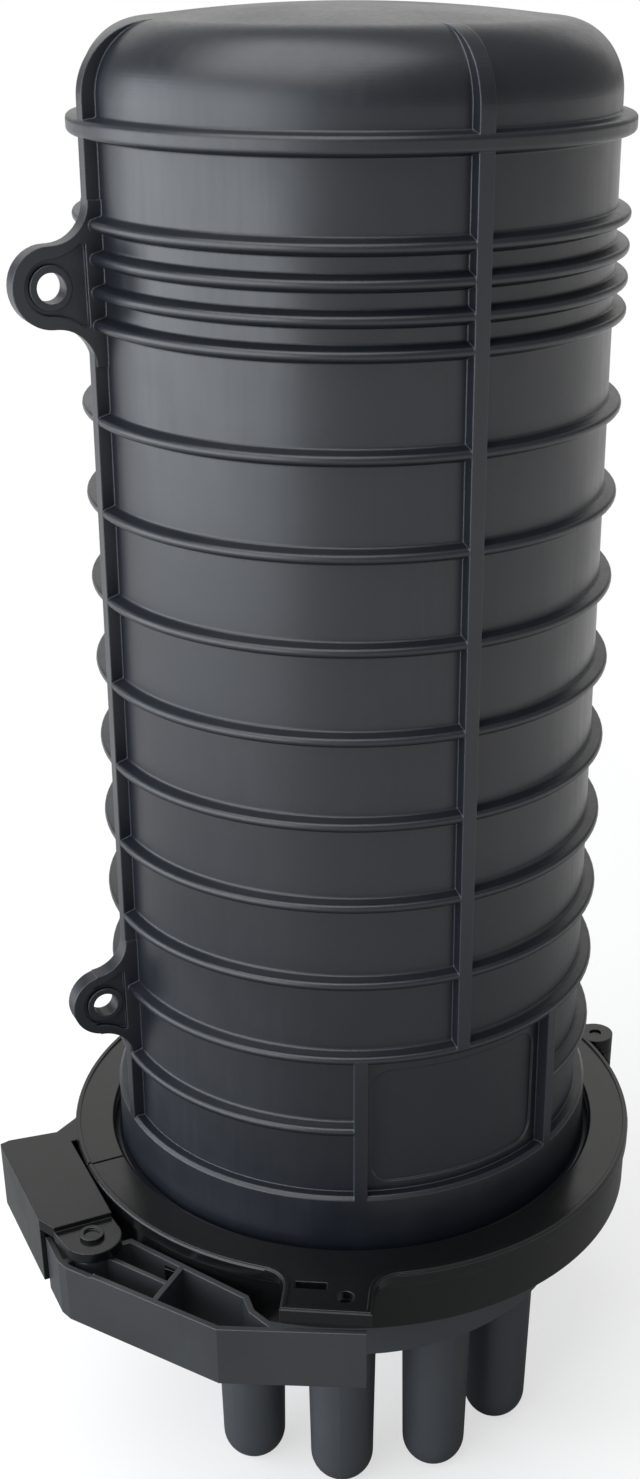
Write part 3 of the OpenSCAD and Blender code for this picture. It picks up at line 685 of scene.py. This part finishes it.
def sharp_block(low: Sequence[float], high: Sequence[float]) -> bmesh.types.BMesh:
    """Makes a block between two corners, in metres."""
    bm = bmesh.new()
    bmesh.ops.create_cube(bm, size=1.0)
    bmesh.ops.scale(bm, vec=[h - l for l, h in zip(low, high)], verts=bm.verts)
    bmesh.ops.translate(bm, vec=[(h + l) / 2 for l, h in zip(low, high)], verts=bm.verts)
    return bm


def round_off(
    bm: bmesh.types.BMesh, edges: Sequence[bmesh.types.BMEdge], radius: float, segments: int
) -> None:
    """Rounds edges.

    Args:
        bm: Shape that the edges belong to.
        edges: Edges to round.
        radius: Edge radius, in metres.
        segments: Segments of the radius.
    """
    bmesh.ops.bevel(
        bm,
        geom=edges,
        offset=radius,
        offset_type="OFFSET",
        segments=segments,
        profile=0.5,
        affect="EDGES",
        material=-1,
    )


def block(low: Sequence[float], high: Sequence[float], radius: float) -> bmesh.types.BMesh:
    """Makes a block with round edges.

    Args:
        low: Lowest corner, in metres.
        high: Highest corner, in metres.
        radius: Edge radius, in metres.

    Returns:
        The block.
    """
    bm = sharp_block(low, high)
    round_off(bm, bm.edges, radius, segments=3)
    return bm


@dataclass
class ArmStiffener:
    """Cross rib inside the latch arm, which closes the view through its open front.

    Measures are in metres.
    """

    inner_x: float = -0.1152
    outer_x: float = -0.1395
    front_y: float = -0.0160
    thickness: float = 0.0024
    bottom_z: float = 0.1108
    top_z: float = 0.1350
    edge: float = 0.0004

    def build(self, material: bpy.types.Material) -> None:
        """Makes the rib.

        Args:
            material: The clamp's finish.
        """
        bm = block(
            (self.outer_x, self.front_y, self.bottom_z),
            (self.inner_x, self.front_y + self.thickness, self.top_z),
            self.edge,
        )
        finished(bm, "arm_cross_rib", material, Body.ROOT)


@dataclass
class TrayStrap:
    """Hook-and-loop strap round the stack of trays, with its loose end folded over the front.

    Measures are in metres. The end is set in by a margin from the band's edges, the hem by the hem
    margin, and each is sunk a little into what it lies on.
    """

    thickness: float = 0.0011
    corner: float = 0.0026
    overlap: float = 0.046
    hem: float = 0.0016
    hem_length: float = 0.008
    margin: float = 0.0004
    hem_margin: float = 0.0006
    sink: float = 0.0001
    edge: float = 0.0004

    def band(self, material: bpy.types.Material) -> None:
        """Makes the band.

        Args:
            material: The strap's finish.
        """
        bm = sharp_block(*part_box("tray_strap"))
        caps = [face for face in bm.faces if abs(face.normal.z) > 0.9]
        bmesh.ops.delete(bm, geom=caps, context="FACES_ONLY")
        upright = [e for e in bm.edges if abs(e.verts[0].co.z - e.verts[1].co.z) > 1e-4]
        round_off(bm, upright, self.corner, segments=6)
        bmesh.ops.recalc_face_normals(bm, faces=bm.faces)
        bmesh.ops.solidify(bm, geom=bm.faces, thickness=self.thickness)
        strap = finished(bm, "tray_strap_band", material, Body.ROOT)
        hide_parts("tray_strap")

    def loose_end(self, material: bpy.types.Material) -> None:
        """Makes the end that lies over the band's front, with its folded hem.

        Args:
            material: The strap's finish.
        """
        low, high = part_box("tray_strap")
        half = self.overlap / 2
        band_y = low[1]
        end_y = band_y - self.thickness
        bm = block(
            (-half, end_y, low[2] + self.margin),
            (half, band_y + self.sink, high[2] - self.margin),
            self.edge,
        )
        finished(bm, "tray_strap_end", material, Body.ROOT)
        bm = block(
            (half - self.hem_length, end_y - self.hem, low[2] + self.hem_margin),
            (half - self.margin, end_y + self.sink, high[2] - self.hem_margin),
            self.edge,
        )
        finished(bm, "tray_strap_hem", material, Body.ROOT)

    def build(self, material: bpy.types.Material) -> None:
        """Makes the strap.

        Args:
            material: The strap's finish.
        """
        self.band(material)
        self.loose_end(material)


@dataclass
class Inside:
    """Frame, trays, seal and earth bolt, all under the dome."""

    steel: Sequence[str] = (
        "support_frame",
        "frame_screws",
        "bracket_screws",
        "strength_clamps",
        "clamp_screws",
        "earth_bolt",
        "earth_nut",
    )
    trays: Sequence[str] = (
        "splice_tray_1",
        "splice_tray_2",
        "splice_tray_3",
        "splice_tray_4",
        "storage_basket",
    )

    def build(self, finishes: Dict[str, bpy.types.Material]) -> None:
        """Dresses the inner pieces.

        Args:
            finishes: Materials by name.
        """
        for name in self.steel:
            dress(name, finishes["steel"])
        for name in self.trays:
            dress(name, finishes["tray"])
        dress("tray_bracket", finishes["base"])
        dress("tray_cover", finishes["cover"])
        TrayStrap().build(finishes["strap"])
        dress("seal_ring", finishes["rubber"])
        dress("earth_washer", finishes["rubber"])


# ---- studio ----


@dataclass
class Lamp:
    """A rectangular softbox aimed at a point."""

    name: str
    place: Point
    aim: Point
    size: Tuple[float, float]
    power: float
    colour: Point = (1.0, 1.0, 1.0)

    def build(self) -> None:
        """Makes the lamp."""
        data = bpy.data.lights.new(self.name, "AREA")
        data.shape = "RECTANGLE"
        data.size, data.size_y = self.size
        data.energy = self.power
        data.color = self.colour
        lamp = bpy.data.objects.new(self.name, data)
        lamp.location = self.place
        way = Vector(self.aim) - Vector(self.place)
        lamp.rotation_euler = way.to_track_quat("-Z", "Y").to_euler()
        bpy.context.scene.collection.objects.link(lamp)


@dataclass
class Set:
    """Floor, world, lamps and camera."""

    camera_place: Point = (-0.26526, -0.56886, 0.56276)
    camera_turn: Point = (61.30, 0.0, -25.0)
    lens_mm: float = 44.08
    sensor_mm: float = 36.0
    shift: Tuple[float, float] = (-0.0214, 0.1299)
    clip: Tuple[float, float] = (0.01, 50.0)
    floor_half: float = 20.0
    surround: float = 0.3
    lamps: Sequence[Lamp] = (
        Lamp("window", (-1.36, 0.0, 0.55), (0, 0, 0.36), (2.5, 1.1), 33.0, (0.88, 0.94, 1.0)),
        Lamp("top", (-0.5, -0.2, 1.7), (0, 0, 0.3), (1.4, 1.4), 21.0),
        Lamp("back_wall", (0.6, 1.4, 1.1), (0, 0, 0.3), (2.4, 1.0), 5.0, (1.0, 0.99, 0.96)),
    )

    def camera(self) -> None:
        """Makes the camera and sets it as the scene's."""
        data = bpy.data.cameras.new("camera")
        data.sensor_fit = "AUTO"
        data.sensor_width = self.sensor_mm
        data.lens = self.lens_mm
        data.shift_x, data.shift_y = self.shift
        data.clip_start, data.clip_end = self.clip
        cam = bpy.data.objects.new("camera", data)
        cam.location = self.camera_place
        cam.rotation_euler = [math.radians(a) for a in self.camera_turn]
        bpy.context.scene.collection.objects.link(cam)
        bpy.context.scene.camera = cam

    def floor(self) -> None:
        """Makes the pale floor."""
        mesh = bpy.data.meshes.new("floor")
        bm = bmesh.new()
        bmesh.ops.create_grid(bm, x_segments=1, y_segments=1, size=self.floor_half)
        bm.to_mesh(mesh)
        bm.free()
        mesh.materials.append(Studio("studio_floor_matt").build())
        floor = bpy.data.objects.new("floor", mesh)
        bpy.context.scene.collection.objects.link(floor)

    def world(self) -> None:
        """Makes the soft surround, which the camera sees as white."""
        world = bpy.data.worlds.new("surround")
        world.use_nodes = True
        tree = world.node_tree
        tree.nodes.clear()
        paths = node(tree, "ShaderNodeLightPath")
        seen = node(
            tree,
            "ShaderNodeMath",
            {"operation": "MAXIMUM"},
            links={0: paths.outputs["Is Camera Ray"], 1: paths.outputs["Is Transmission Ray"]},
        )
        soft = node(
            tree,
            "ShaderNodeBackground",
            inputs={"Color": WHITE, "Strength": self.surround},
        )
        white = node(tree, "ShaderNodeBackground", inputs={"Color": WHITE, "Strength": 1.0})
        mix = node(
            tree,
            "ShaderNodeMixShader",
            links={0: seen.outputs[0], 1: soft.outputs[0], 2: white.outputs[0]},
        )
        node(tree, "ShaderNodeOutputWorld", links={"Surface": mix.outputs[0]})
        bpy.context.scene.world = world

    def build(self) -> None:
        """Makes the whole set."""
        bpy.context.scene.view_settings.view_transform = "Standard"
        self.camera()
        self.floor()
        self.world()
        for lamp in self.lamps:
            lamp.build()


def main() -> None:
    """Builds the set and the closure."""
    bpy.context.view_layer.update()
    Set().build()
    finishes = Finishes().make()
    Closure().build(finishes)
    Inside().build(finishes)


if __name__ == "__main__":
    main()
